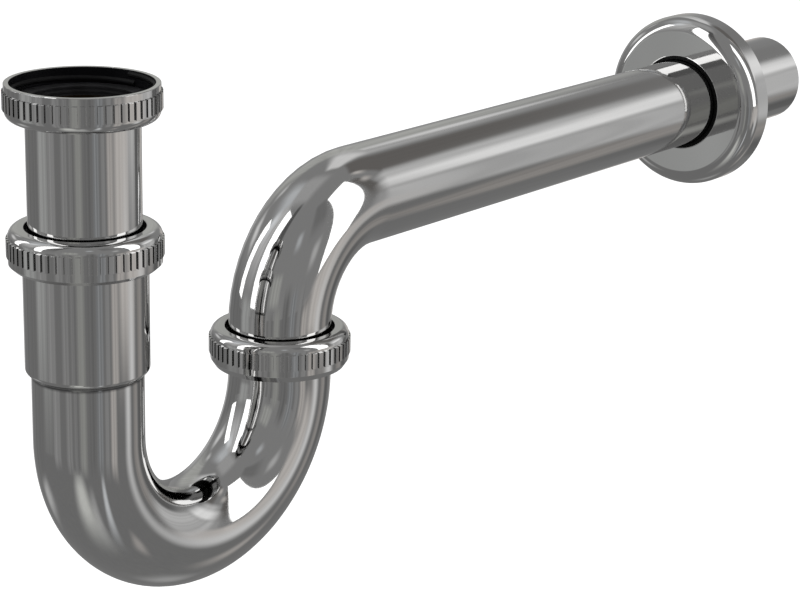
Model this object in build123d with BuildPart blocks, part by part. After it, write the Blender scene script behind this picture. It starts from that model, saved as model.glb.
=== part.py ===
"""Chromed tubular basin trap with a U-bend, three coupling nuts and a wall rosette.

Millimetres, +Z up. The origin is on the inlet axis, on the top face of the inlet gasket,
where the tail of the basin waste seats. The trap hangs below it, and the outlet runs along +X.
"""

import os
from math import atan2, degrees, sin

from build123d import *

os.makedirs("parts", exist_ok=True)

# Tubes: drawn brass, 32 mm outside
tube_diameter = 32.0
tube_wall = 1.0
leg_spacing = 81.2
outlet_bend_radius = 34.5
outlet_straight_length = 250.6
inlet_drop = 99.4
inlet_end_height = 34.0
tube_end_chamfer = 0.4

# Socket: the widened end of the U-bend's inlet leg, heights above the bend's centre
socket_diameter = 35.4
socket_wall = 1.4
socket_foot_height = 19.3
socket_top_height = 58.5
swage_length = 2.6
seat_depth = 1.6
seat_edge = 0.2
outlet_leg_height = 8.7

# Coupling nuts: G 1 1/4 thread, left plain here
nut_bore_diameter = 40.0
knurl_diameter = 44.1
groove_depth = 0.5
groove_width = 0.85
groove_count = 60
rib_overlap = 0.2
knurl_height = 5.0
knurl_start = 3.1
knurl_turn = 2.1
shoulder_radius = 2.7
lip_thickness = 2.0
lip_round = 0.35
thread_relief = 0.4
nut_edge_chamfer = 0.15
foot_taper_width = 1.25
top_nut_height = 10.25
middle_nut_height = 11.45
middle_nut_taper = 1.15
outlet_nut_height = 12.0
outlet_nut_taper = 1.9

# Flanges, gaskets, rings and ferrules inside the nuts
flange_thickness = 1.2
flange_root_radius = 0.5
inlet_gasket_thickness = 2.6
outlet_gasket_thickness = 1.6
slip_ring_thickness = 1.2
seal_rim_thickness = 1.4
ferrule_height = 5.7
ferrule_chamfer = 0.5

# Clearances, all on the radius
hole_clearance = 1.0
ring_clearance = 0.3
thread_clearance = 0.15
slip_ring_clearance = 0.35
sliding_clearance = 0.05
bend_clearance = 0.3

# Wall rosette: pressed sheet
rosette_diameter = 64.0
rosette_depth = 11.9
rosette_sheet = 0.8
rosette_rim_radius = 5.8
rosette_hole_edge = 0.2
rosette_bead = 1.2
rosette_hole_clearance = 0.75
rosette_distance = 188.0
rosette_ring_length = 3.4
rosette_ring_recess = 0.4

# Worked out from the above
tube_radius = tube_diameter / 2
tube_bore_radius = tube_radius - tube_wall
socket_radius = socket_diameter / 2
socket_bore_radius = socket_radius - socket_wall
nut_bore_radius = nut_bore_diameter / 2
knurl_radius = knurl_diameter / 2
collar_radius = knurl_radius - groove_depth
relief_radius = nut_bore_radius + thread_relief
relief_height = inlet_gasket_thickness + flange_thickness
nut_hole_radius = tube_radius + hole_clearance
ring_radius = nut_bore_radius - ring_clearance
ferrule_radius = nut_bore_radius - thread_clearance
slip_ring_bore_radius = tube_radius + slip_ring_clearance

u_bend_radius = leg_spacing / 2
bend_level = -inlet_drop
socket_foot = bend_level + socket_foot_height
socket_top = bend_level + socket_top_height
outlet_leg_top = bend_level + outlet_leg_height

inlet_flange_bottom = -inlet_gasket_thickness - flange_thickness
top_nut_lip_face = inlet_flange_bottom - lip_thickness

middle_slip_ring_bottom = socket_top + seal_rim_thickness
middle_nut_lip_face = middle_slip_ring_bottom + slip_ring_thickness + lip_thickness

outlet_flange_bottom = outlet_leg_top + outlet_gasket_thickness
outlet_slip_ring_bottom = outlet_flange_bottom + flange_thickness
outlet_nut_lip_face = outlet_slip_ring_bottom + slip_ring_thickness + lip_thickness
outlet_bend_start = outlet_nut_lip_face + bend_clearance
outlet_level = outlet_bend_start + outlet_bend_radius
outlet_straight_start = leg_spacing + outlet_bend_radius

rosette_front = outlet_straight_start + rosette_distance
rosette_radius = rosette_diameter / 2
rosette_hole_radius = tube_radius + rosette_hole_clearance


def save(part, name):
    """Label a finished piece and write its file."""
    part.label = name
    export_step(part, f"parts/{name}.step")


def washer(axis_x, bottom, thickness, outer_radius, inner_radius):
    """A flat ring round an upright axis."""
    with BuildPart() as ring:
        with BuildSketch(Plane((axis_x, 0, bottom))):
            Circle(outer_radius)
            Circle(inner_radius, mode=Mode.SUBTRACT)
        extrude(amount=thickness)
    return ring.part


def coupling_nut(axis_x, lip_face, height, taper, opens_up):
    """A knurled nut: rounded shoulder and lip at one end, plain collar and thread at the other.

    The section is drawn with its height counted from the lip's outer face. The taper is the
    height and the width of the bevel round the open end.
    """
    taper_height, taper_width = taper
    up = 1 if opens_up else -1
    section_plane = Plane((axis_x, 0, lip_face), x_dir=(1, 0, 0), z_dir=(0, -up, 0))
    with BuildPart() as nut:
        with BuildSketch(section_plane):
            with BuildLine():
                Line((nut_hole_radius + lip_round, 0), (collar_radius - shoulder_radius, 0))
                CenterArc((collar_radius - shoulder_radius, shoulder_radius), shoulder_radius, 270, 90)
                Polyline(
                    (collar_radius, shoulder_radius),
                    (collar_radius, height - taper_height),
                    (collar_radius - taper_width, height),
                    (nut_bore_radius + nut_edge_chamfer, height),
                    (nut_bore_radius, height - nut_edge_chamfer),
                    (nut_bore_radius, lip_thickness + relief_height),
                    (relief_radius, lip_thickness + relief_height),
                    (relief_radius, lip_thickness),
                    (nut_hole_radius, lip_thickness),
                    (nut_hole_radius, lip_round),
                )
                CenterArc((nut_hole_radius + lip_round, lip_round), lip_round, 180, 90)
            make_face()
        revolve(axis=Axis((axis_x, 0, 0), (0, 0, 1)))
        knurl_plane = Plane((axis_x, 0, lip_face + up * knurl_start), x_dir=(1, 0, 0), z_dir=(0, 0, up))
        with BuildSketch(knurl_plane):
            Circle(knurl_radius)
            Circle(collar_radius - rib_overlap, mode=Mode.SUBTRACT)
            with PolarLocations(knurl_radius, groove_count, start_angle=up * knurl_turn):
                Rectangle(4 * groove_depth, groove_width, mode=Mode.SUBTRACT)
        extrude(amount=knurl_height)
    return nut.part


def ferrule(axis_x, top, bore_radius):
    """A threaded ring brazed on the end of a tube, its thread left plain."""
    with BuildPart() as ring:
        with BuildSketch(Plane((axis_x, 0, top - ferrule_height))):
            Circle(ferrule_radius)
            Circle(bore_radius, mode=Mode.SUBTRACT)
        extrude(amount=ferrule_height)
        outer_edges = ring.edges().filter_by(GeomType.CIRCLE).group_by(SortBy.RADIUS)[-1]
        chamfer(outer_edges, length=ferrule_chamfer)
    return ring.part


# Inlet: top nut, gasket and flanged tube
plain_edge = (nut_edge_chamfer, nut_edge_chamfer)
save(coupling_nut(0, top_nut_lip_face, top_nut_height, plain_edge, opens_up=True), "top_nut")
save(
    washer(0, -inlet_gasket_thickness, inlet_gasket_thickness, ring_radius, tube_bore_radius),
    "inlet_gasket",
)

with BuildPart() as inlet_tube:
    inlet_end = bend_level + inlet_end_height
    with BuildSketch(Plane.XY.offset(inlet_end)):
        Circle(tube_radius)
    extrude(amount=inlet_flange_bottom - inlet_end)
    with BuildSketch(Plane.XY.offset(inlet_flange_bottom)):
        Circle(ring_radius)
    extrude(amount=flange_thickness)
    flange_root = inlet_tube.edges().filter_by_position(
        Axis.Z, inlet_flange_bottom, inlet_flange_bottom
    ).sort_by(SortBy.RADIUS)[0]
    fillet(flange_root, radius=flange_root_radius)
    with BuildSketch(Plane.XY.offset(inlet_end)):
        Circle(tube_bore_radius)
    extrude(amount=-inlet_end, mode=Mode.SUBTRACT)
    end_edges = inlet_tube.edges().group_by(Axis.Z)[0].sort_by(SortBy.RADIUS)
    chamfer(end_edges[-1], length=tube_end_chamfer)
save(inlet_tube.part, "inlet_tube")

# Middle joint: nut, slip ring, cone seal and ferrule on the socket
middle_foot = (middle_nut_taper, foot_taper_width)
save(
    coupling_nut(0, middle_nut_lip_face, middle_nut_height, middle_foot, opens_up=False),
    "middle_nut",
)
save(
    washer(0, middle_slip_ring_bottom, slip_ring_thickness, ring_radius, slip_ring_bore_radius),
    "middle_slip_ring",
)
save(ferrule(0, socket_top, socket_radius), "socket_ferrule")

seal_bore_radius = tube_radius + sliding_clearance
with BuildPart() as middle_seal:
    with BuildSketch(Plane.XZ):
        with BuildLine():
            Polyline(
                (seal_bore_radius, middle_slip_ring_bottom),
                (ring_radius, middle_slip_ring_bottom),
                (ring_radius, socket_top),
                (socket_radius - seat_edge, socket_top),
                (socket_bore_radius, socket_top - seat_depth),
                (seal_bore_radius, socket_top - seat_depth),
                close=True,
            )
        make_face()
    revolve(axis=Axis.Z)
save(middle_seal.part, "middle_seal")

# U-bend: one tube, its inlet leg swaged out to the socket
with BuildPart() as u_bend:
    with BuildLine(Plane.XZ):
        Line((0, socket_foot), (0, bend_level))
        CenterArc((u_bend_radius, bend_level), u_bend_radius, 180, 180)
        Line((leg_spacing, bend_level), (leg_spacing, outlet_leg_top))
    with BuildSketch(Plane((0, 0, socket_foot), z_dir=(0, 0, -1))):
        Circle(tube_radius)
        Circle(tube_bore_radius, mode=Mode.SUBTRACT)
    sweep()

    # The shoulder's outline is two equal arcs that meet half way, outside and inside alike
    swage_top = socket_foot + swage_length
    swage_turn = 2 * degrees(atan2(socket_radius - tube_radius, swage_length))
    swage_radius = swage_length / 2 / sin(2 * atan2(socket_radius - tube_radius, swage_length))
    inner_turn = 2 * degrees(atan2(socket_bore_radius - tube_bore_radius, swage_length))
    inner_radius = swage_length / 2 / sin(2 * atan2(socket_bore_radius - tube_bore_radius, swage_length))
    with BuildSketch(Plane.XZ):
        with BuildLine():
            Line((socket_radius, socket_top), (socket_radius, swage_top))
            outer_bow = JernArc((socket_radius, swage_top), (0, -1), swage_radius, -swage_turn)
            JernArc(outer_bow @ 1, outer_bow % 1, swage_radius, swage_turn)
            Line((tube_radius, socket_foot), (tube_bore_radius, socket_foot))
            inner_bow = JernArc((tube_bore_radius, socket_foot), (0, 1), inner_radius, -inner_turn)
            JernArc(inner_bow @ 1, inner_bow % 1, inner_radius, inner_turn)
            Polyline(
                (socket_bore_radius, swage_top),
                (socket_bore_radius, socket_top - seat_depth),
                (socket_radius - seat_edge, socket_top),
                (socket_radius, socket_top),
            )
        make_face()
    revolve(axis=Axis.Z)
save(u_bend.part, "u_bend")

# Outlet joint: nut, slip ring, gasket and ferrule on the short leg
outlet_foot = (outlet_nut_taper, foot_taper_width)
save(
    coupling_nut(leg_spacing, outlet_nut_lip_face, outlet_nut_height, outlet_foot, opens_up=False),
    "outlet_nut",
)
save(
    washer(
        leg_spacing, outlet_slip_ring_bottom, slip_ring_thickness, ring_radius, slip_ring_bore_radius
    ),
    "outlet_slip_ring",
)
save(
    washer(leg_spacing, outlet_leg_top, outlet_gasket_thickness, ring_radius, tube_bore_radius),
    "outlet_gasket",
)
save(ferrule(leg_spacing, outlet_leg_top, tube_radius), "outlet_ferrule")

# Outlet tube: flange, quarter bend and the long run to the wall
with BuildPart() as outlet_tube:
    with BuildLine(Plane.XZ):
        Line((leg_spacing, outlet_flange_bottom), (leg_spacing, outlet_bend_start))
        CenterArc((outlet_straight_start, outlet_bend_start), outlet_bend_radius, 180, -90)
        Line(
            (outlet_straight_start, outlet_level),
            (outlet_straight_start + outlet_straight_length, outlet_level),
        )
    with BuildSketch(Plane((leg_spacing, 0, outlet_flange_bottom))):
        Circle(tube_radius)
        Circle(tube_bore_radius, mode=Mode.SUBTRACT)
    sweep()
    end_edges = outlet_tube.edges().group_by(Axis.X)[-1].sort_by(SortBy.RADIUS)
    chamfer(end_edges[-1], length=tube_end_chamfer)
    with BuildSketch(Plane((leg_spacing, 0, outlet_flange_bottom))):
        Circle(ring_radius)
        Circle(tube_bore_radius, mode=Mode.SUBTRACT)
    extrude(amount=flange_thickness)
    flange_root = outlet_tube.edges().filter_by(GeomType.CIRCLE).filter_by_position(
        Axis.Z, outlet_slip_ring_bottom, outlet_slip_ring_bottom
    ).sort_by(SortBy.RADIUS)[0]
    fillet(flange_root, radius=slip_ring_clearance - sliding_clearance)
save(outlet_tube.part, "outlet_tube")

# Wall rosette: a pressed plate with a punched hole
rosette_axis = Axis((0, 0, outlet_level), (1, 0, 0))
rosette_plane = Plane((rosette_front, 0, outlet_level), x_dir=(1, 0, 0), z_dir=(0, -1, 0))
with BuildPart() as wall_rosette:
    rim_centre = rosette_radius - rosette_rim_radius
    inner_rim_radius = rosette_rim_radius - rosette_sheet
    edge_centre = rosette_hole_radius + rosette_hole_edge
    with BuildSketch(rosette_plane):
        with BuildLine():
            Line((0, edge_centre), (0, rim_centre))
            CenterArc((rosette_rim_radius, rim_centre), rosette_rim_radius, 180, -90)
            Polyline(
                (rosette_rim_radius, rosette_radius),
                (rosette_depth, rosette_radius),
                (rosette_depth, rosette_radius - rosette_sheet),
                (rosette_rim_radius, rosette_radius - rosette_sheet),
            )
            CenterArc((rosette_rim_radius, rim_centre), inner_rim_radius, 90, 90)
            Polyline(
                (rosette_sheet, rim_centre),
                (rosette_sheet, rosette_hole_radius),
                (rosette_hole_edge, rosette_hole_radius),
            )
            CenterArc((rosette_hole_edge, edge_centre), rosette_hole_edge, 270, -90)
        make_face()
    revolve(axis=rosette_axis)
save(wall_rosette.part, "wall_rosette")

# Grip ring: it fills the hole round the tube and is held by a bead behind the plate
with BuildPart() as rosette_ring:
    grip_radius = tube_radius + sliding_clearance
    bead_radius = rosette_hole_radius + rosette_bead
    with BuildSketch(rosette_plane):
        with BuildLine():
            Polyline(
                (rosette_ring_recess, grip_radius),
                (rosette_ring_recess, rosette_hole_radius),
                (rosette_sheet, rosette_hole_radius),
                (rosette_sheet, bead_radius),
                (rosette_ring_recess + rosette_ring_length, bead_radius),
                (rosette_ring_recess + rosette_ring_length, grip_radius),
                close=True,
            )
        make_face()
    revolve(axis=rosette_axis)
save(rosette_ring.part, "rosette_ring")
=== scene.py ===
from math import cos, pi, radians, sin, tan

import bpy
from mathutils import Matrix, Vector


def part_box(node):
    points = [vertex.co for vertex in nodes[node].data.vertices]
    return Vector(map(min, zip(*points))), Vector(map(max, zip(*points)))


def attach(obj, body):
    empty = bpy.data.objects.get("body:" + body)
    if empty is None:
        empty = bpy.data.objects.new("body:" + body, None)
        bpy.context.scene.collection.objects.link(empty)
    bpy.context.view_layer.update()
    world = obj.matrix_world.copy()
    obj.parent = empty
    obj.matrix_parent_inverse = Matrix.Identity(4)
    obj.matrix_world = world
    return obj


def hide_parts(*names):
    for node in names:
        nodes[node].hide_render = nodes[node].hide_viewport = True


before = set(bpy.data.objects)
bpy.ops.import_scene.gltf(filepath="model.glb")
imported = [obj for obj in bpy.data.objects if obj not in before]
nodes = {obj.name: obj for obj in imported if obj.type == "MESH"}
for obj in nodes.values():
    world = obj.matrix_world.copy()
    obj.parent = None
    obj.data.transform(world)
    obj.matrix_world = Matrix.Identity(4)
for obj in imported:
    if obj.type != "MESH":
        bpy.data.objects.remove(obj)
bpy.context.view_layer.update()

bpy.ops.object.select_all(action="DESELECT")


# Top coupling nut. Turned brass with a knurled barrel, polished and chrome plated outside.
# Its threaded bore is painted near black, as painted shade. It screws up onto the tail of the
# basin waste.
def shader_group(name, inputs, outputs):
    group = bpy.data.node_groups.new(name, "ShaderNodeTree")
    for label, value in inputs.items():
        socket = group.interface.new_socket(
            label, in_out="INPUT", socket_type="NodeSocketFloat"
        )
        socket.default_value = value
    for label, kind in outputs.items():
        group.interface.new_socket(label, in_out="OUTPUT", socket_type=kind)
    start = group.nodes.new("NodeGroupInput")
    end = group.nodes.new("NodeGroupOutput")
    return group, start.outputs, end.inputs


def math_step(tree, operation, first, second=None, third=None):
    step = tree.nodes.new("ShaderNodeMath")
    step.operation = operation
    for socket, value in zip(step.inputs, (first, second, third)):
        if isinstance(value, (int, float)):
            socket.default_value = value
        elif value is not None:
            tree.links.new(value, socket)
    return step.outputs["Value"]


def hypotenuse(tree, first, second):
    squares = math_step(tree, "MULTIPLY", first, first)
    squares = math_step(tree, "MULTIPLY_ADD", second, second, squares)
    return math_step(tree, "SQRT", squares)


def between(tree, value, low, high):
    """1 where the value lies between low and high, and 0 elsewhere."""
    above = math_step(tree, "GREATER_THAN", value, low)
    below = math_step(tree, "LESS_THAN", value, high)
    return math_step(tree, "MULTIPLY", above, below)


def spread(tree, value, low, high, to_low, to_high):
    """The value, carried from the range low to high over to the range to_low to to_high."""
    step = tree.nodes.new("ShaderNodeMapRange")
    step.inputs["From Min"].default_value = low
    step.inputs["From Max"].default_value = high
    step.inputs["To Min"].default_value = to_low
    step.inputs["To Max"].default_value = to_high
    tree.links.new(value, step.inputs["Value"])
    return step.outputs["Result"]


def object_place(tree):
    return tree.nodes.new("ShaderNodeTexCoord").outputs["Object"]


def split_place(tree):
    step = tree.nodes.new("ShaderNodeSeparateXYZ")
    tree.links.new(object_place(tree), step.inputs["Vector"])
    return step.outputs


def noise(tree, place, scale, detail=2.0, stretch=(1.0, 1.0, 1.0)):
    mapping = tree.nodes.new("ShaderNodeMapping")
    mapping.inputs["Scale"].default_value = stretch
    texture = tree.nodes.new("ShaderNodeTexNoise")
    texture.inputs["Scale"].default_value = scale
    texture.inputs["Detail"].default_value = detail
    tree.links.new(place, mapping.inputs["Vector"])
    tree.links.new(mapping.outputs["Vector"], texture.inputs["Vector"])
    return texture.outputs["Fac"]


def blend_colour(tree, amount, first, second):
    step = tree.nodes.new("ShaderNodeMix")
    step.data_type = "RGBA"
    step.inputs[0].default_value = 0.0
    tree.links.new(amount, step.inputs[0])
    for socket, value in ((step.inputs[6], first), (step.inputs[7], second)):
        if isinstance(value, tuple):
            socket.default_value = (*value, 1.0)
        else:
            tree.links.new(value, socket)
    return step.outputs[2]


# How plating looks close up: a faint cloudy film, wiping marks and a slight orange peel
plating, into, out = shader_group(
    "plating_marks",
    {"Wiping": 1.0},
    {"Tint": "NodeSocketFloat", "Roughness": "NodeSocketFloat", "Height": "NodeSocketFloat"},
)
place = object_place(plating)
film = noise(plating, place, scale=38.0, detail=3.0)
wiping = noise(plating, place, scale=240.0, stretch=(1.0, 1.0, 0.12))
peel = noise(plating, place, scale=420.0, detail=1.0)
plating.links.new(film, out["Tint"])
soft = spread(plating, film, 0.3, 0.7, 0.0, 0.012)
rubbed = spread(plating, wiping, 0.55, 0.75, 0.0, 0.02)
rubbed = math_step(plating, "MULTIPLY", rubbed, into["Wiping"])
plating.links.new(math_step(plating, "ADD", soft, rubbed), out["Roughness"])
plating.links.new(peel, out["Height"])

# Fine rings that a lathe leaves round an upright axis, as a height, and the distance from it
turning, into, out = shader_group(
    "turning_rings",
    {"Axis X": 0.0, "Rings per metre": 4000.0},
    {"Height": "NodeSocketFloat", "Radius": "NodeSocketFloat"},
)
place = split_place(turning)
across = math_step(turning, "SUBTRACT", place["X"], into["Axis X"])
radius = hypotenuse(turning, across, place["Y"])
turning.links.new(radius, out["Radius"])
sweep = math_step(turning, "ADD", radius, place["Z"])
sweep = math_step(turning, "MULTIPLY", sweep, into["Rings per metre"])
turning.links.new(math_step(turning, "SINE", sweep), out["Height"])


def new_material(name):
    material = bpy.data.materials.new(name)
    material.use_nodes = True
    return material, material.node_tree, material.node_tree.nodes["Principled BSDF"]


def use_group(tree, group, **values):
    step = tree.nodes.new("ShaderNodeGroup")
    step.node_tree = group
    for label, value in values.items():
        step.inputs[label.replace("_", " ")].default_value = value
    return step.outputs


def bump(tree, surface, height, depth, normal=None):
    step = tree.nodes.new("ShaderNodeBump")
    step.inputs["Strength"].default_value = 1.0
    step.inputs["Distance"].default_value = depth
    tree.links.new(height, step.inputs["Height"])
    if normal is not None:
        tree.links.new(normal, step.inputs["Normal"])
    tree.links.new(step.outputs["Normal"], surface.inputs["Normal"])


def soft_edges(tree, width):
    step = tree.nodes.new("ShaderNodeBevel")
    step.samples = 4
    step.inputs["Radius"].default_value = width
    return step.outputs["Normal"]


# Painted shade for chrome seen in chrome: the near black given to mirrors seen in mirrors
deep_shade = (0.02, 0.02, 0.02)


def dark_when_deep(tree, colour, mirrors=2):
    """The colour, but nearly black where it is seen by way of that many mirrors or more:
    painted shade.
    """
    depth = tree.nodes.new("ShaderNodeLightPath").outputs["Glossy Depth"]
    deep = math_step(tree, "GREATER_THAN", depth, mirrors - 0.5)
    return blend_colour(tree, deep, colour, deep_shade)


def paint(node, material):
    nodes[node].data.materials.clear()
    nodes[node].data.materials.append(material)


nut_bore_radius = 0.020
nut_lip_thickness = 0.002
nut_hole_radius = 0.017
chrome_grey = (0.573, 0.574, 0.574)
chrome_light = (0.610, 0.604, 0.595)
bore_shade = (0.004, 0.004, 0.005)
flank_shade = (0.04, 0.04, 0.04)

# How rough the nuts' polish is, how much rougher the black bore is, and how glossy
nut_polish = 0.035
bore_roughness = 0.35
bore_gloss = 0.12

# The knurl, from the lip's face down and from the grooves' floor out to the ribs' tops
knurl_start = 0.0031
knurl_end = 0.0081
groove_floor_radius = 0.02155
rib_top_radius = 0.02205

# How far a mask reaches past its edge: along the nut, at its lip, and then across it, in the
# bore and in the lip's hole, where the mesh has facets
edge_margin = 0.00004
lip_margin = 0.00005
bore_margin = 0.00012
hole_margin = 0.0001
bright_hole_edge = 0.00014


def nut_chrome(node, rise):
    """Chrome outside, with painted shade: near black in the bore and down the wall of the lip's
    hole, and dark on the flanks of the knurl's ribs.

    The rise is 1 on a nut that opens upwards, and -1 on one that opens downwards.
    """
    low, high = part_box(node)
    lip_face = low.z if rise > 0 else high.z
    foot = high.z - low.z
    material, tree, surface = new_material(node + "_chrome")
    marks = use_group(tree, plating)
    lathe = use_group(tree, turning, Axis_X=(low.x + high.x) / 2, Rings_per_metre=26000.0)
    radius = lathe["Radius"]
    depth = math_step(tree, "MULTIPLY_ADD", split_place(tree)["Z"], rise, -rise * lip_face)
    # Painted shade: the bore and the wall of the lip's hole are painted near black
    bore = math_step(tree, "LESS_THAN", radius, nut_bore_radius + bore_margin)
    within = between(tree, depth, nut_lip_thickness - lip_margin, foot - edge_margin)
    bore = math_step(tree, "MULTIPLY", bore, within)
    hole = math_step(tree, "LESS_THAN", radius, nut_hole_radius + hole_margin)
    within = math_step(tree, "GREATER_THAN", depth, bright_hole_edge)
    hole = math_step(tree, "MULTIPLY", hole, within)
    black = math_step(tree, "MAXIMUM", bore, hole)
    # Painted shade: the flanks of the knurl's ribs are painted dark
    groove, rib = groove_floor_radius + edge_margin, rib_top_radius - edge_margin
    flank = between(tree, radius, groove, rib)
    within = between(tree, depth, knurl_start + edge_margin, knurl_end + edge_margin)
    flank = math_step(tree, "MULTIPLY", flank, within)
    chrome = blend_colour(tree, marks["Tint"], chrome_grey, chrome_light)
    chrome = dark_when_deep(tree, chrome)
    chrome = blend_colour(tree, flank, chrome, flank_shade)
    coloured = blend_colour(tree, black, chrome, bore_shade)
    tree.links.new(coloured, surface.inputs["Base Color"])
    tree.links.new(math_step(tree, "SUBTRACT", 1.0, black), surface.inputs["Metallic"])
    surface.inputs["Specular IOR Level"].default_value = bore_gloss
    polished = math_step(tree, "ADD", marks["Roughness"], nut_polish)
    roughness = math_step(tree, "MULTIPLY_ADD", black, bore_roughness, polished)
    tree.links.new(roughness, surface.inputs["Roughness"])
    bump(tree, surface, lathe["Height"], 0.0000004, soft_edges(tree, 0.00012))
    return material


# Painted shade: the nuts' thread ridges are painted near black, like the bore round them
bore_painted_shade, tree, surface = new_material("bore_painted_shade")
marks = use_group(tree, plating)
shade = blend_colour(tree, marks["Tint"], bore_shade, (0.010, 0.010, 0.010))
tree.links.new(shade, surface.inputs["Base Color"])
surface.inputs["Specular IOR Level"].default_value = bore_gloss
tree.links.new(math_step(tree, "ADD", marks["Roughness"], 0.45), surface.inputs["Roughness"])
bump(tree, surface, marks["Height"], 0.000002, soft_edges(tree, 0.0001))


def wind(name, place, section, turns, climb):
    """A closed section, as radius and height, wound round Z from +X and then put in place."""
    bpy.ops.mesh.primitive_circle_add(vertices=len(section), radius=1.0)
    piece = bpy.context.object
    piece.name = name
    for corner, (radius, height) in zip(piece.data.vertices, section):
        corner.co = (radius, 0.0, height)
    winding = piece.modifiers.new("winding", "SCREW")
    winding.angle = 2 * pi * turns
    winding.screw_offset = climb
    winding.steps = round(72 * turns)
    winding.render_steps = winding.steps
    winding.use_merge_vertices = climb == 0
    winding.merge_threshold = 0.000001
    bpy.ops.object.modifier_apply(modifier="winding")
    bpy.ops.object.mode_set(mode="EDIT")
    bpy.ops.mesh.select_all(action="SELECT")
    if climb:
        bpy.ops.mesh.fill_holes(sides=len(section))
        bpy.ops.mesh.select_all(action="SELECT")
    bpy.ops.mesh.normals_make_consistent(inside=False)
    bpy.ops.object.mode_set(mode="OBJECT")
    bpy.ops.object.shade_smooth_by_angle(angle=radians(35))
    piece.data.transform(place)
    return piece


# The G 1 1/4 thread: its pitch, half the width of its ridge at the root and at the crest, and
# how deep the ridge's foot is sunk in the wall that it stands on
thread_pitch = 0.002309
ridge_root_half = 0.0009
ridge_crest_half = 0.00025
ridge_sunk = 0.0001


def wind_ridge(name, place, start, end, root, crest):
    """A right-hand ridge whose middle climbs from start to end."""
    section = (
        (root, start - ridge_root_half),
        (crest, start - ridge_crest_half),
        (crest, start + ridge_crest_half),
        (root, start + ridge_root_half),
    )
    return wind(name, place, section, (end - start) / thread_pitch, end - start)


# In the nuts the ridge ends this far inside the open edge and begins past the plain bore
nut_ridge_inset = 0.0003
nut_plain_bore = 0.0058


def cut_nut_thread(node, body, rise, ridge_height):
    """A nut's ridge. It gives back the height at which the ridge's middle starts."""
    low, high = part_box(node)
    plain, free = (low.z, high.z) if rise > 0 else (high.z, low.z)
    ends = (
        plain + rise * (nut_plain_bore + ridge_root_half),
        free - rise * (nut_ridge_inset + ridge_root_half),
    )
    on_axis = Matrix.Translation(((low.x + high.x) / 2, 0.0, 0.0))
    root, crest = nut_bore_radius + ridge_sunk, nut_bore_radius - ridge_height
    ridge = wind_ridge(node + "_thread", on_axis, min(ends), max(ends), root, crest)
    ridge.data.materials.append(bore_painted_shade)
    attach(ridge, body)
    return min(ends)


paint("top_nut", nut_chrome("top_nut", rise=1))
cut_nut_thread("top_nut", "inlet_coupling", rise=1, ridge_height=0.00055)


# Inlet gasket. A flat black rubber washer in the top nut, moulded with fine rings, which the
# tail of the basin waste presses on. The seals hidden in the other nuts are the same rubber.
def black_rubber(name, node, shade, gloss=0.35):
    low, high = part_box(node)
    material, tree, surface = new_material(name)
    place = object_place(tree)
    bloom = noise(tree, place, scale=160.0, detail=4.0)
    bloom = spread(tree, bloom, 0.35, 0.7, 0.0, 1.0)
    bloomed = tuple(2.0 * part for part in shade)
    tree.links.new(blend_colour(tree, bloom, shade, bloomed), surface.inputs["Base Color"])
    surface.inputs["Specular IOR Level"].default_value = gloss
    tree.links.new(spread(tree, bloom, 0.0, 1.0, 0.42, 0.58), surface.inputs["Roughness"])
    rings = use_group(tree, turning, Axis_X=(low.x + high.x) / 2, Rings_per_metre=4800.0)
    pores = noise(tree, place, scale=2600.0, detail=3.0)
    height = math_step(tree, "MULTIPLY_ADD", pores, 0.4, rings["Height"])
    bump(tree, surface, height, 0.00003)
    return material


seal_black = (0.010, 0.010, 0.011)
for node in ("inlet_gasket", "middle_seal", "outlet_gasket"):
    paint(node, black_rubber(node + "_rubber", node, seal_black))


# Inlet tube, U-bend and outlet tube. Drawn brass tube, bent, polished and chrome plated
# outside. Inside, the brass is bare and dull.
tube_bore_radius = 0.015
tube_wall = 0.001
tube_polish = 0.045
bare_roughness = 0.35
bare_brass = (0.07, 0.055, 0.035)
bare_brass_light = (0.12, 0.09, 0.05)


def vector_step(tree, operation, first, second=None):
    step = tree.nodes.new("ShaderNodeVectorMath")
    step.operation = operation
    tree.links.new(first, step.inputs[0])
    if second is not None:
        tree.links.new(second, step.inputs[1])
    return step.outputs["Value" if operation in ("LENGTH", "DOT_PRODUCT") else "Vector"]


def as_vector(tree, *parts):
    """A vector of up to three parts; those left out are 0."""
    step = tree.nodes.new("ShaderNodeCombineXYZ")
    for socket, value in zip(step.inputs, parts):
        tree.links.new(value, socket)
    return step.outputs["Vector"]


# How well the mesh's normal has to agree with the exact one, for a start and in full
agreement_start = 0.99
agreement_full = 0.9975


def round_normal(tree, offset):
    """The exact normal of a round surface, from its offset to the line or ring it goes round.

    It replaces the mesh's own normal where the two nearly agree, so that reflections run on
    without a step where a bend meets a straight run.
    """
    own = tree.nodes.new("ShaderNodeTexCoord").outputs["Normal"]
    exact = vector_step(tree, "NORMALIZE", offset)
    agreement = vector_step(tree, "DOT_PRODUCT", own, exact)
    exact = vector_step(tree, "MULTIPLY", exact, math_step(tree, "SIGN", agreement))
    agreement = math_step(tree, "ABSOLUTE", agreement)
    share = spread(tree, agreement, agreement_start, agreement_full, 0.0, 1.0)
    mixed = tree.nodes.new("ShaderNodeMix")
    mixed.data_type = "VECTOR"
    tree.links.new(share, mixed.inputs[0])
    tree.links.new(own, mixed.inputs[4])
    tree.links.new(exact, mixed.inputs[5])
    in_world = tree.nodes.new("ShaderNodeVectorTransform")
    in_world.vector_type = "NORMAL"
    in_world.convert_from = "OBJECT"
    in_world.convert_to = "WORLD"
    tree.links.new(mixed.outputs[1], in_world.inputs["Vector"])
    return in_world.outputs["Vector"]


# Painted shade in the hollow at the foot of the socket's swage: its height and its half width
swage_foot = -0.0797
swage_shadow = 0.0010
swage_painted_shade = (0.14, 0.14, 0.14)


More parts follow.
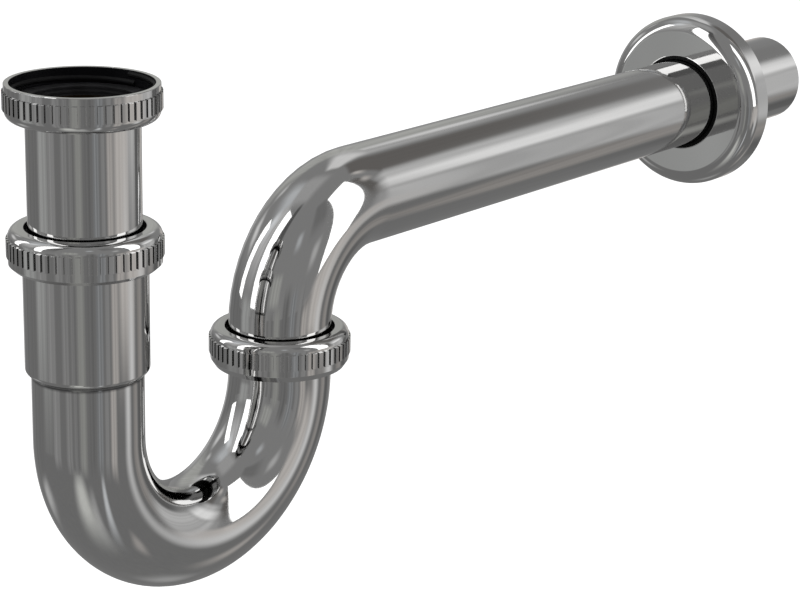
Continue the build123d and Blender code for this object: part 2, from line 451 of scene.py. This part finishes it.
def tube_chrome(node, middle_line, swaged=False):
    """The middle line gives the offset of each place on the tube from it, as a vector."""
    material, tree, surface = new_material(node + "_chrome")
    marks = use_group(tree, plating)
    chrome = blend_colour(tree, marks["Tint"], chrome_grey, chrome_light)
    chrome = dark_when_deep(tree, chrome)
    if swaged:
        # Painted shade: a dark band is painted round the foot of the swage
        height = math_step(tree, "SUBTRACT", split_place(tree)["Z"], swage_foot)
        height = math_step(tree, "ABSOLUTE", height)
        swage_shade_share = spread(tree, height, 0.0, swage_shadow, 1.0, 0.0)
        chrome = blend_colour(tree, swage_shade_share, chrome, swage_painted_shade)
    offset = middle_line(tree)
    radius = vector_step(tree, "LENGTH", offset)
    inside = math_step(tree, "LESS_THAN", radius, tube_bore_radius + tube_wall / 2)
    bare = blend_colour(tree, marks["Tint"], bare_brass, bare_brass_light)
    tree.links.new(blend_colour(tree, inside, chrome, bare), surface.inputs["Base Color"])
    surface.inputs["Metallic"].default_value = 1.0
    polished = math_step(tree, "ADD", marks["Roughness"], tube_polish)
    roughness = math_step(tree, "MULTIPLY_ADD", inside, bare_roughness, polished)
    tree.links.new(roughness, surface.inputs["Roughness"])
    bump(tree, surface, marks["Height"], 0.0000015, round_normal(tree, offset))
    paint(node, material)


def straight_line(tree):
    """The middle line of a tube along Z."""
    place = split_place(tree)
    return as_vector(tree, place["X"], place["Y"])


def bent_line(centre_x, centre_z, bend_radius, quarter):
    """The middle line of a tube with one bend, which is a quarter or a half of a turn."""

    def middle_line(tree):
        place = split_place(tree)
        across = math_step(tree, "SUBTRACT", place["X"], centre_x)
        rise = math_step(tree, "SUBTRACT", place["Z"], centre_z)
        if quarter:
            across = math_step(tree, "MINIMUM", across, 0.0)
            rise = math_step(tree, "MAXIMUM", rise, 0.0)
        else:
            rise = math_step(tree, "MINIMUM", rise, 0.0)
        share = math_step(tree, "DIVIDE", bend_radius, hypotenuse(tree, across, rise))
        share = math_step(tree, "SUBTRACT", 1.0, share)
        across = math_step(tree, "MULTIPLY", across, share)
        rise = math_step(tree, "MULTIPLY", rise, share)
        return as_vector(tree, across, place["Y"], rise)

    return middle_line


u_bend_line = bent_line(centre_x=0.0406, centre_z=-0.0994, bend_radius=0.0406, quarter=False)
outlet_line = bent_line(centre_x=0.1157, centre_z=-0.0844, bend_radius=0.0345, quarter=True)
tube_chrome("inlet_tube", straight_line)
tube_chrome("u_bend", u_bend_line, swaged=True)
tube_chrome("outlet_tube", outlet_line)


# Middle and outlet coupling nuts, made like the top nut but open downwards. They run on the
# ferrules' threads and press the slip rings and seals together. Their ridges are lower than the
# top nut's, so that they pass the rims of the seals when the nuts are screwed off.
low_ridge = 0.00025
paint("middle_nut", nut_chrome("middle_nut", rise=-1))
paint("outlet_nut", nut_chrome("outlet_nut", rise=-1))
middle_ridge_start = cut_nut_thread("middle_nut", "middle_coupling", -1, low_ridge)
outlet_ridge_start = cut_nut_thread("outlet_nut", "outlet_coupling", -1, low_ridge)


# Slip rings. Smooth black plastic washers under the lips of the nuts, so that the nuts
# turn without dragging the rubber round.
slip_plastic, tree, surface = new_material("slip_plastic")
place = object_place(tree)
flow = noise(tree, place, scale=300.0)
shade = blend_colour(tree, flow, (0.004, 0.004, 0.004), (0.009, 0.009, 0.009))
tree.links.new(shade, surface.inputs["Base Color"])
surface.inputs["Specular IOR Level"].default_value = 0.3
tree.links.new(spread(tree, flow, 0.3, 0.7, 0.34, 0.46), surface.inputs["Roughness"])
bump(tree, surface, noise(tree, place, scale=1500.0), 0.00001)
paint("middle_slip_ring", slip_plastic)
paint("outlet_slip_ring", slip_plastic)


# Ferrules. Turned brass rings brazed on the ends of the U-bend. Each is turned down to the
# root of its thread, and its ridge runs between the turns of the nut's.
ferrule_root_radius = 0.01935
ferrule_crest_radius = 0.01985
ferrule_edge = 0.0003
# The brass is darkened, partly as tarnish and partly as painted shade for the gap inside the
# nut. Seen in any mirror it is painted near black, as painted shade.
ferrule_brass, tree, surface = new_material("ferrule_brass")
place = object_place(tree)
tarnish = noise(tree, place, scale=220.0, detail=4.0)
tarnish = spread(tree, tarnish, 0.4, 0.75, 0.0, 1.0)
brass = blend_colour(tree, tarnish, (0.40, 0.29, 0.13), (0.22, 0.15, 0.07))
brass = dark_when_deep(tree, brass, mirrors=1)
tree.links.new(brass, surface.inputs["Base Color"])
surface.inputs["Metallic"].default_value = 1.0
tree.links.new(spread(tree, tarnish, 0.0, 1.0, 0.25, 0.42), surface.inputs["Roughness"])
grain = noise(tree, place, scale=1800.0)
bump(tree, surface, grain, 0.000004, soft_edges(tree, 0.0001))
for node, bore_radius, nut_ridge_start in (
    ("socket_ferrule", 0.0177, middle_ridge_start),
    ("outlet_ferrule", 0.016, outlet_ridge_start),
):
    low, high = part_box(node)
    on_axis = Matrix.Translation(((low.x + high.x) / 2, 0.0, 0.0))
    section = (
        (bore_radius, low.z),
        (ferrule_root_radius - ferrule_edge, low.z),
        (ferrule_root_radius, low.z + ferrule_edge),
        (ferrule_root_radius, high.z - ferrule_edge),
        (ferrule_root_radius - ferrule_edge, high.z),
        (bore_radius, high.z),
    )
    turned_ring = wind(node + "_turned", on_axis, section, turns=1.0, climb=0.0)
    start = nut_ridge_start + thread_pitch / 2
    end = high.z - ridge_root_half
    root = ferrule_root_radius - ridge_sunk
    ridge = wind_ridge(node + "_ridge", on_axis, start, end, root, ferrule_crest_radius)
    turned_ring.select_set(True)
    bpy.context.view_layer.objects.active = turned_ring
    bpy.ops.object.join()
    turned_ring.data.materials.append(ferrule_brass)
    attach(turned_ring, "trap")
    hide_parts(node)
    bpy.ops.object.select_all(action="DESELECT")


# Wall rosette. Pressed brass sheet, polished and chrome plated, which slides on the outlet tube
# and covers the hole in the wall. A black rubber ring in its hole grips the tube. The ring's
# front lip lies on the sheet, inside the hole's raised edge. That lip is nearly black, darker
# than the seals' rubber, as painted shade for the dark gap round the tube.
rosette_chrome, tree, surface = new_material("rosette_chrome")
marks = use_group(tree, plating, Wiping=0.6)
chrome = blend_colour(tree, marks["Tint"], chrome_grey, chrome_light)
tree.links.new(dark_when_deep(tree, chrome), surface.inputs["Base Color"])
surface.inputs["Metallic"].default_value = 1.0
tree.links.new(math_step(tree, "ADD", marks["Roughness"], 0.04), surface.inputs["Roughness"])
rosette_low, rosette_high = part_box("wall_rosette")
rosette_face = rosette_low.x
rosette_axis = (rosette_low.z + rosette_high.z) / 2
rim_radius = 0.0058
rim_centre_radius = rosette_high.y - rim_radius

# The offset to the ring that the rim goes round, or straight out of the face and the side
place = split_place(tree)
rise = math_step(tree, "SUBTRACT", place["Z"], rosette_axis)
from_axis = hypotenuse(tree, place["Y"], rise)
past_flat = math_step(tree, "SUBTRACT", from_axis, rim_centre_radius)
past_flat = math_step(tree, "MAXIMUM", past_flat, 0.0)
share = math_step(tree, "DIVIDE", past_flat, from_axis)
ahead = math_step(tree, "SUBTRACT", place["X"], rosette_face + rim_radius)
ahead = math_step(tree, "MINIMUM", ahead, 0.0)
across = math_step(tree, "MULTIPLY", place["Y"], share)
rise = math_step(tree, "MULTIPLY", rise, share)
rim_normal = round_normal(tree, as_vector(tree, ahead, across, rise))
bump(tree, surface, marks["Height"], 0.000001, rim_normal)
paint("wall_rosette", rosette_chrome)

# The grip ring, from its front lip, through the sheet's hole, to the bead behind the sheet
ring_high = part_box("rosette_ring")[1]
sheet_thickness = 0.0008
tube_radius = 0.016
hole_radius = 0.01675
lip_radius = 0.0175
bead_radius = ring_high.z - rosette_axis
lip_proud = 0.00006
grip_radius = tube_radius + 0.00003
sheet_gap = 0.00002
sheet_back = rosette_face + sheet_thickness
lip_edge = 0.0001
bead_edge = 0.0004
along_x = Matrix.Translation((0.0, 0.0, rosette_axis)) @ Matrix.Rotation(pi / 2, 4, "Y")
section = (
    (grip_radius, rosette_face + 0.0002),
    (grip_radius + 0.00022, rosette_face - lip_proud),
    (lip_radius - lip_edge, rosette_face - lip_proud),
    (lip_radius, rosette_face),
    (hole_radius, rosette_face + sheet_gap),
    (hole_radius, sheet_back + sheet_gap),
    (bead_radius - 0.0003, sheet_back + sheet_gap),
    (bead_radius, sheet_back + bead_edge),
    (bead_radius, ring_high.x - bead_edge),
    (bead_radius - bead_edge, ring_high.x),
    (grip_radius + 0.00027, ring_high.x),
    (grip_radius, ring_high.x - 0.0003),
)
grip_ring = wind("rosette_grip_ring", along_x, section, turns=1.0, climb=0.0)
# Painted shade: the lip's rubber is nearly black, for the dark gap round the tube
lip_shade_black = (0.002, 0.002, 0.002)
lip_rubber = black_rubber("grip_ring_rubber", "rosette_ring", lip_shade_black, gloss=0.1)
grip_ring.data.materials.append(lip_rubber)
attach(grip_ring, "rosette")
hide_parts("rosette_ring")

# The raised edge round the lip: a quarter of its width, how proud of the face it stands, and
# how deep its foot is sunk in the sheet
edge_step = 0.00008
edge_proud = 0.00006
edge_sunk = 0.0001
section = (
    (lip_radius, rosette_face + edge_sunk),
    (lip_radius + 0.00002, rosette_face - 0.6 * edge_proud),
    (lip_radius + 0.6 * edge_step, rosette_face - edge_proud),
    (lip_radius + 1.4 * edge_step, rosette_face - edge_proud),
    (lip_radius + 2.4 * edge_step, rosette_face - 0.5 * edge_proud),
    (lip_radius + 4 * edge_step, rosette_face + 0.00001),
    (lip_radius + 4 * edge_step, rosette_face + edge_sunk),
)
hole_edge = wind("rosette_hole_edge", along_x, section, turns=1.0, climb=0.0)
hole_edge.data.materials.append(rosette_chrome)
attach(hole_edge, "rosette")
bpy.ops.object.select_all(action="DESELECT")


# Studio. A white floor and background, grey cloths and cards hung and laid round the trap
# where only its chrome sees them, and three soft lamps that draw the long white streaks.
floor_height = -1.1
floor_radius = 40.0
floor_glow = 0.75
tent_radius = 9.0
middle = Vector((0.08, 0.0, -0.08))


def seen_by_eye(tree):
    """1 for what the camera sees, directly or by way of mirrors and glass."""
    rays = tree.nodes.new("ShaderNodeLightPath").outputs
    seen = math_step(tree, "MAXIMUM", rays["Is Camera Ray"], rays["Is Glossy Ray"])
    return math_step(tree, "MAXIMUM", seen, rays["Is Transmission Ray"])


bpy.ops.mesh.primitive_circle_add(
    vertices=64, radius=floor_radius, fill_type="NGON", location=(0.15, 0.0, floor_height)
)
floor = bpy.context.object
floor.name = "studio_floor"
floor_white, tree, surface = new_material("studio_white")
mottle = noise(tree, object_place(tree), scale=3.0)
mottle = blend_colour(tree, mottle, (0.84, 0.84, 0.84), (0.88, 0.88, 0.88))
tree.links.new(mottle, surface.inputs["Base Color"])
surface.inputs["Roughness"].default_value = 1.0
surface.inputs["Specular IOR Level"].default_value = 0.0
surface.inputs["Emission Color"].default_value = (1.0, 1.0, 1.0, 1.0)
glow = math_step(tree, "MULTIPLY", seen_by_eye(tree), floor_glow)
tree.links.new(glow, surface.inputs["Emission Strength"])
see_through = tree.nodes.new("ShaderNodeBsdfTransparent")
sides = tree.nodes.new("ShaderNodeMixShader")
underside = tree.nodes.new("ShaderNodeNewGeometry").outputs["Backfacing"]
tree.links.new(underside, sides.inputs["Fac"])
tree.links.new(surface.outputs["BSDF"], sides.inputs[1])
tree.links.new(see_through.outputs["BSDF"], sides.inputs[2])
tree.links.new(sides.outputs["Shader"], tree.nodes["Material Output"].inputs["Surface"])
floor.data.materials.append(floor_white)

world = bpy.data.worlds.new("studio_world")
bpy.context.scene.world = world
world.use_nodes = True
tree = world.node_tree
sky = tree.nodes["Background"].inputs
sky["Color"].default_value = (1.0, 1.0, 1.0, 1.0)
tree.links.new(spread(tree, seen_by_eye(tree), 0.0, 1.0, 0.5, 1.0), sky["Strength"])


neutral = (1.0, 1.0, 1.0)
warm = (1.05, 1.0, 0.96)
cool = (0.97, 1.0, 1.03)
green = (0.99, 1.0, 0.96)
pale_green = (0.985, 1.0, 0.99)


def cloth(name, brightness, tint=neutral, faded=0.3, streaks=0.03):
    """A lit cloth or card, whose edges fade out over a share of its width."""
    material = bpy.data.materials.new(name)
    material.use_nodes = True
    tree = material.node_tree
    tree.nodes.remove(tree.nodes["Principled BSDF"])
    glow = tree.nodes.new("ShaderNodeEmission")
    glow.inputs["Color"].default_value = (*tint, 1.0)
    place = tree.nodes.new("ShaderNodeTexCoord").outputs
    folds = noise(tree, place["Object"], scale=13.0, detail=1.5, stretch=(1.0, 1.0, 0.03))
    low, high = (1.0 - streaks) * brightness, (1.0 + streaks) * brightness
    tree.links.new(spread(tree, folds, 0.3, 0.7, low, high), glow.inputs["Strength"])
    output = tree.nodes["Material Output"].inputs["Surface"]
    if not faded:
        tree.links.new(glow.outputs["Emission"], output)
        return material
    split = tree.nodes.new("ShaderNodeSeparateXYZ")
    tree.links.new(place["UV"], split.inputs["Vector"])
    shown = 1.0
    for label in ("X", "Y"):
        from_middle = math_step(tree, "SUBTRACT", split.outputs[label], 0.5)
        from_middle = math_step(tree, "ABSOLUTE", from_middle)
        edge = tree.nodes.new("ShaderNodeMapRange")
        edge.interpolation_type = "SMOOTHSTEP"
        edge.inputs["From Min"].default_value = 0.5
        edge.inputs["From Max"].default_value = 0.5 - faded
        tree.links.new(from_middle, edge.inputs["Value"])
        shown = math_step(tree, "MULTIPLY", edge.outputs["Result"], shown)
    mixed = tree.nodes.new("ShaderNodeMixShader")
    tree.links.new(shown, mixed.inputs["Fac"])
    see_through = tree.nodes.new("ShaderNodeBsdfTransparent")
    tree.links.new(see_through.outputs["BSDF"], mixed.inputs[1])
    tree.links.new(glow.outputs["Emission"], mixed.inputs[2])
    tree.links.new(mixed.outputs["Shader"], output)
    return material


def only_in_reflections(card):
    card.visible_camera = False
    card.visible_diffuse = False
    card.visible_shadow = False
    card.visible_transmission = False
    card.visible_volume_scatter = False


def add_card(name, sides, position, material):
    """A card; its sides are its two edges, as long as the card, and the way it faces."""
    bpy.ops.mesh.primitive_plane_add(size=1.0)
    card = bpy.context.object
    card.name = name
    placing = Matrix(sides).transposed().to_4x4()
    placing.translation = position
    card.data.transform(placing)
    card.data.materials.append(material)
    only_in_reflections(card)


def level_ways(turn):
    """The level ways across and out, seen from the middle towards a turn in degrees."""
    turn = radians(turn)
    return Vector((-sin(turn), cos(turn), 0.0)), Vector((cos(turn), sin(turn), 0.0))


def hang(name, turn, width, low, high, distance, *look, **details):
    """An upright card facing the trap, over a span of turn and one of rise in degrees."""
    across, out = level_ways(turn)
    side = 2 * distance * tan(radians(width) / 2)
    foot = distance * tan(radians(low))
    head = distance * tan(radians(high))
    sides = (across * side, Vector((0, 0, head - foot)), out)
    position = middle + out * distance + Vector((0, 0, (head + foot) / 2))
    add_card(name, sides, position, cloth(name, *look, **details))


def lay(name, turn, near, far, width, height, *look, **details):
    """A level strip over or under the trap, that runs outwards from near to far."""
    across, out = level_ways(turn)
    sides = (out * (far - near), across * width, Vector((0, 0, 1)))
    position = Vector((middle.x, middle.y, height)) + out * (near + far) / 2
    add_card(name, sides, position, cloth(name, *look, **details))


# A tent round everything, and a cloth on its ground
bpy.ops.mesh.primitive_uv_sphere_add(
    segments=48, ring_count=24, radius=tent_radius, location=middle
)
tent = bpy.context.object
tent.name = "cloth_tent"
tent.data.materials.append(cloth("cloth_tent", 0.30, faded=0))
only_in_reflections(tent)
on_floor = (middle.x, middle.y, floor_height + 0.02)
bpy.ops.mesh.primitive_circle_add(
    vertices=48, radius=tent_radius - 0.1, fill_type="NGON", location=on_floor
)
ground = bpy.context.object
ground.name = "ground_cloth"
ground.data.materials.append(cloth("ground_cloth", 0.222, faded=0))
only_in_reflections(ground)

# Each row says the turn, the width and the low and high end in degrees, the distance and the
# brightness. A tint and the share of the width over which the edges fade may come after them.

# Level with the trap: hung cloths in fine folds, which draw the streaks along the tubes
hang("cloth_far_left", -174, 15, -34, 12, 1.7, 0.33, streaks=0.2)
hang("cloth_left_low", -160, 12, -34, 4, 1.65, 0.26, streaks=0.2)
hang("cloth_left_of_camera", -146, 18, -34, 6, 1.6, 0.36, green, streaks=0.2)
hang("cloth_behind_camera", -128, 18, -34, 16, 1.5, 0.21, streaks=0.2)
hang("cloth_right_of_camera", -113, 16, -32, 12, 1.6, 0.33, cool, streaks=0.25)
hang("cloth_by_camera_right", -98, 14, -32, 8, 1.6, 0.29, streaks=0.2)
hang("cloth_before_lamp", -85, 18, -30, -3, 1.3, 0.52, warm, streaks=0.15)
hang("cloth_under_right_lamp", -59, 48, -22, 1, 0.9, 0.64, warm, streaks=0.1)
hang("ball_under_right_lamp", -50, 26, -32, -6, 0.8, 0.80, faded=0.5)
hang("cloth_right_low", -24, 20, -36, -10, 1.4, 0.33, warm, streaks=0.15)
hang("cloth_right", -29, 40, -18, 16, 1.35, 0.62, neutral, 0.25, streaks=0.15)
hang("cloth_far_right", -7, 18, -34, 8, 1.3, 0.15)
hang("cloth_before_wall", 6, 16, -26, 12, 1.8, 0.24)
hang("cloth_by_wall", 23, 20, -26, 12, 1.8, 0.56, warm)
hang("cloth_back_right", 62, 22, -30, 8, 1.6, 0.46)
hang("cloth_back", 96, 60, -34, 8, 1.5, 0.21, streaks=0.15)
hang("cloth_back_left", 139, 32, -23, 6, 1.5, 0.44, pale_green, streaks=0.12)
hang("cloth_by_left", 160, 20, -30, 2, 1.5, 0.33, streaks=0.2)

# Higher up: the soft shapes in the bends
hang("cloth_high_left", -157, 28, -2, 26, 1.9, 0.44, green, streaks=0.15)
hang("smudge_high_left", -129, 18, 31, 50, 1.8, 0.56, cool, 0.45)
hang("cloth_beside_right_lamp", -98, 30, 28, 66, 1.9, 0.22)
hang("glow_beside_right_lamp", -92, 16, 6, 28, 1.3, 0.56, neutral, 0.45)
hang("cloth_after_lamp", -46, 12, 2, 58, 2.0, 0.16, warm)
hang("card_right", -27, 42, 8, 29, 1.5, 1.10, neutral, 0.38)
hang("glow_over_card", -27, 36, 17, 38, 1.9, 0.68, neutral, 0.4)
hang("cloth_over_right", -7, 48, 26, 66, 2.4, 0.17, warm, 0.2)
hang("spot_over_card", -29, 14, 46, 62, 1.8, 0.64, warm, 0.48)
hang("spot_beside_card", -41, 14, 35, 49, 1.8, 0.56, warm, 0.48)
hang("cloth_wall_side", 50, 54, 0, 40, 2.2, 0.50, green, streaks=0.08)
hang("board_over_wall", 33, 38, 22, 69, 2.0, 0.86, neutral, 0.3)
hang("line_under_board", 28, 14, 22, 34, 1.7, 0.85, neutral, 0.45)
hang("smear_back", 92, 30, 8, 25, 1.4, 0.85, neutral, 0.45)
hang("spot_back", 77, 14, 21, 36, 1.4, 0.66, neutral, 0.48)
hang("cloth_over_back", 104, 64, 32, 70, 1.9, 0.66, cool, 0.4)
hang("glow_over_back_lamp", 122, 26, 26, 56, 1.1, 0.95, cool, 0.5)
hang("cloth_between_lamps", 132, 34, -3, 66, 1.3, 0.62, neutral, 0.3, streaks=0.15)
hang("cloth_left", 173, 20, -2, 78, 1.5, 0.12)
lay("card_over_back", 100, -0.2, 1.2, 1.4, 2.0, 0.46)

# On the ground: the streaks that run together at the foot of the U-bend. Each row says the
# turn in degrees, the near and far end, the width, the height and the brightness.
lay("strip_left", -160, 0.1, 2.0, 0.78, floor_height + 0.05, 0.72, green, 0.45)
lay("strip_camera_side", -111, 0.3, 2.0, 0.28, floor_height + 0.06, 0.74, cool, 0.45)
lay("strip_camera_near", -138, 0.2, 1.5, 0.34, floor_height + 0.04, 0.44, neutral, 0.45)
lay("strip_right", -76, 0.5, 1.05, 0.30, floor_height + 0.05, 0.44, warm, 0.48)
lay("strip_far_right", -27, 0.5, 1.6, 0.42, floor_height + 0.05, 0.46, warm, 0.48)
lay("strip_wall_side", 18, 0.15, 0.65, 0.6, floor_height + 0.05, 0.42, neutral, 0.48)
lay("strip_back", 105, 0.9, 1.8, 1.0, floor_height + 0.05, 0.56, neutral, 0.45)


def soft_lamp(name, low, high, width, power):
    """A lamp panel from its lower to its upper end, turned to the trap."""
    low, high = Vector(low), Vector(high)
    up = (high - low).normalized()
    toward = middle - (low + high) / 2
    toward = (toward - up * toward.dot(up)).normalized()
    lamp = bpy.data.lights.new(name, "AREA")
    lamp.shape = "RECTANGLE"
    lamp.size = width
    lamp.size_y = (high - low).length
    lamp.energy = power * lamp.size * lamp.size_y * pi
    panel = bpy.data.objects.new(name, lamp)
    turned = Matrix((up.cross(-toward), up, -toward)).transposed().to_4x4()
    turned.translation = (low + high) / 2
    panel.matrix_world = turned
    bpy.context.scene.collection.objects.link(panel)


soft_lamp("right_lamp", (0.374, -0.592, -0.095), (0.217, -0.314, 0.575), 0.225, 2.0)
soft_lamp("back_lamp", (-0.27, 0.74, -0.10), (-0.27, 0.74, 0.60), 0.17, 2.0)
soft_lamp("left_lamp", (-1.229, 0.592, -0.10), (-0.413, 0.262, 1.10), 0.28, 2.0)

# The camera, as fitted to the outlines of the photo
camera = bpy.data.objects.new("camera", bpy.data.cameras.new("camera"))
bpy.context.scene.collection.objects.link(camera)
camera.data.sensor_width = 36.0
camera.data.lens = 105.81
camera.data.clip_start = 0.01
right = Vector((0.63349689, -0.77345606, 0.02115191))
upward = Vector((0.2193533, 0.20574192, 0.95370561))
turned = Matrix((right, upward, right.cross(upward))).transposed().to_4x4()
turned.translation = Vector((-0.4350, -0.4648, 0.1422))
camera.matrix_world = turned
bpy.context.scene.camera = camera
bpy.context.scene.view_settings.view_transform = "Standard"
